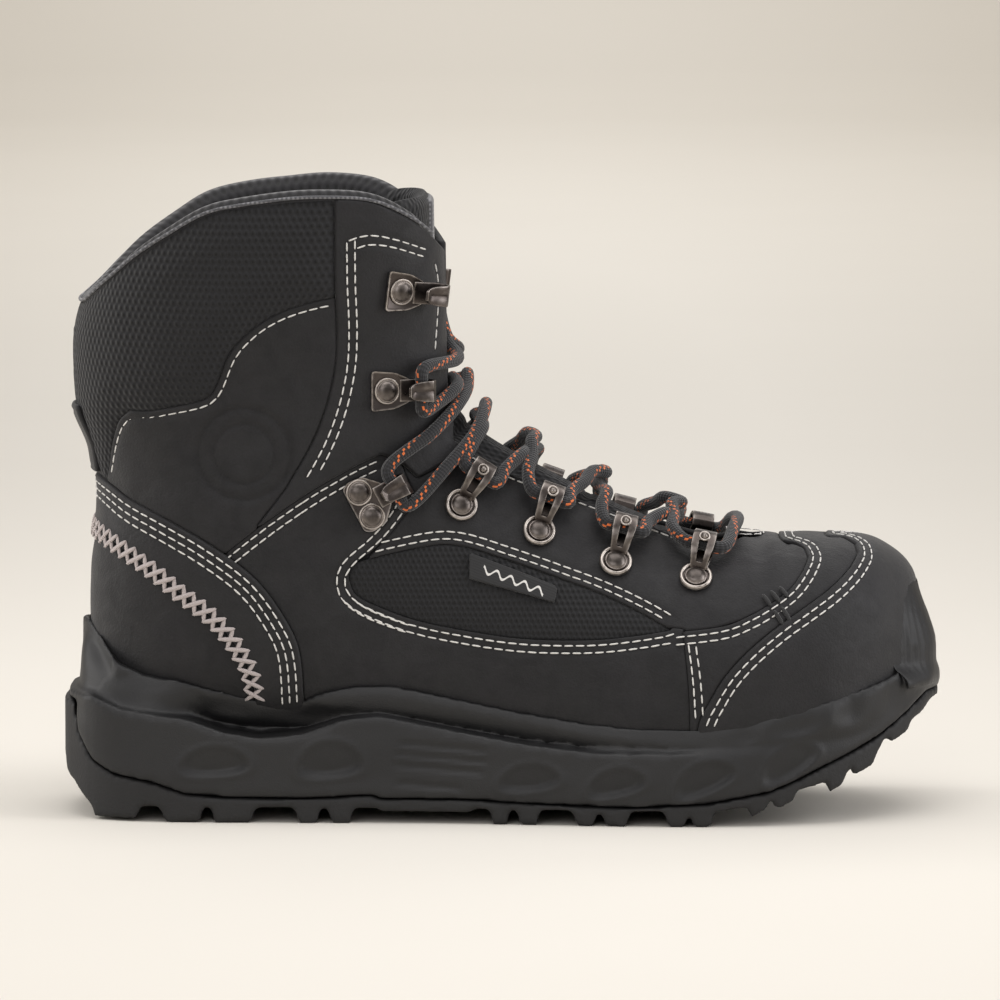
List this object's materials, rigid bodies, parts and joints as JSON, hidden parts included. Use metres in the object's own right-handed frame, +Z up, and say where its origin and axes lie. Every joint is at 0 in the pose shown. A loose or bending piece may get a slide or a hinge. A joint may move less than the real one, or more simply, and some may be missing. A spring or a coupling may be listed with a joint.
{
  "type": "work boot",
  "caption": "Black lace-up work boot for the right foot, with a steel toe cap, mesh windows and collar, metal lace loops and hooks, and a lugged rubber sole.",
  "frame": {"origin": "on the floor under the middle of the boot", "axes": "+X towards the toe, +Y towards the inner side of the foot, +Z up"},
  "size_m": [0.311, 0.113, 0.2247],
  "materials": {
    "black_leather": "matte oiled nubuck",
    "trim_leather": "smooth matte",
    "knit_mesh": "open knit",
    "grey_binding": "woven binding",
    "lining": "perforated knit",
    "foam": "open cell",
    "cap_steel": "satin",
    "soft_rubber": "matte",
    "board": "fibre board",
    "footbed_foam": "brushed fabric on foam",
    "tongue_fabric": "padded knit",
    "label_weave": "fine weave",
    "midsole_rubber": "satin",
    "outsole_rubber": "matte",
    "lace_cord": "braided with orange flecks",
    "gunmetal": "dark plated",
    "rivet_gunmetal": "dark plated"
  },
  "bodies": {
    "boot": {"heel_strap": "trim_leather", "heel_cover": "black_leather", "toe_cover": "trim_leather", "vamp_strip": "black_leather", "vamp": "black_leather", "collar_mesh": "knit_mesh", "collar_piping": "grey_binding", "lining_bootie": "lining", "collar_pad": "foam", "steel_toe_cap": "cap_steel", "toe_cap_edge_guard": "soft_rubber", "heel_counter": "board", "insole_board": "board", "shank": "cap_steel", "midsole": "midsole_rubber", "outsole": "outsole_rubber", "lace": "lace_cord", "quarter_outer": "black_leather", "ankle_panel_outer": "black_leather", "upper_facing_outer": "trim_leather", "mesh_window_outer": "knit_mesh", "quarter_inner": "black_leather", "ankle_panel_inner": "black_leather", "upper_facing_inner": "trim_leather", "mesh_window_inner": "knit_mesh", "loop_eyelet_1_outer": "gunmetal", "loop_eyelet_1_inner": "gunmetal", "loop_eyelet_2_outer": "gunmetal", "loop_eyelet_2_inner": "gunmetal", "loop_eyelet_3_outer": "gunmetal", "loop_eyelet_3_inner": "gunmetal", "loop_eyelet_4_outer": "gunmetal", "loop_eyelet_4_inner": "gunmetal", "lock_hook_outer": "gunmetal", "lock_hook_inner": "gunmetal", "speed_hook_1_outer": "gunmetal", "speed_hook_1_inner": "gunmetal", "speed_hook_2_outer": "gunmetal", "speed_hook_2_inner": "gunmetal", "rivet_loop_eyelet_1_outer": "rivet_gunmetal", "rivet_loop_eyelet_1_inner": "rivet_gunmetal", "rivet_loop_eyelet_2_outer": "rivet_gunmetal", "rivet_loop_eyelet_2_inner": "rivet_gunmetal", "rivet_loop_eyelet_3_outer": "rivet_gunmetal", "rivet_loop_eyelet_3_inner": "rivet_gunmetal", "rivet_loop_eyelet_4_outer": "rivet_gunmetal", "rivet_loop_eyelet_4_inner": "rivet_gunmetal", "rivet_speed_hook_1_outer": "rivet_gunmetal", "rivet_speed_hook_1_inner": "rivet_gunmetal", "rivet_speed_hook_2_outer": "rivet_gunmetal", "rivet_speed_hook_2_inner": "rivet_gunmetal", "rivet_lock_hook_outer_a": "rivet_gunmetal", "rivet_lock_hook_outer_b": "rivet_gunmetal", "rivet_lock_hook_inner_a": "rivet_gunmetal", "rivet_lock_hook_inner_b": "rivet_gunmetal"},
    "footbed": {"footbed": "footbed_foam"},
    "tongue": {"tongue": "tongue_fabric"},
    "pull_tab": {"pull_tab": "trim_leather"},
    "side_label": {"side_label": "label_weave"}
  },
  "joints": [
    {"name": "footbed_lift", "type": "hinge", "parent": "boot", "child": "footbed", "pos_m": [0.1385, 0, 0.0453], "axis": [0, 1, 0], "range_deg": [0, 8]},
    {"name": "tongue_tilt", "type": "hinge", "parent": "boot", "child": "tongue", "pos_m": [0.0755, 0, 0.0935], "axis": [0, -1, 0], "range_deg": [0, 6], "stiffness_Nm_per_rad": 4},
    {"name": "pull_tab_flex", "type": "hinge", "parent": "boot", "child": "pull_tab", "pos_m": [-0.1452, 0, 0.1212], "axis": [0, -1, 0], "range_deg": [0, 35], "stiffness_Nm_per_rad": 0.05},
    {"name": "label_flap", "type": "hinge", "parent": "boot", "child": "side_label", "pos_m": [0.0035, -0.0417, 0.089], "axis": [-0.9315, 0.0805, 0.3546], "range_deg": [0, 90]}
  ]
}
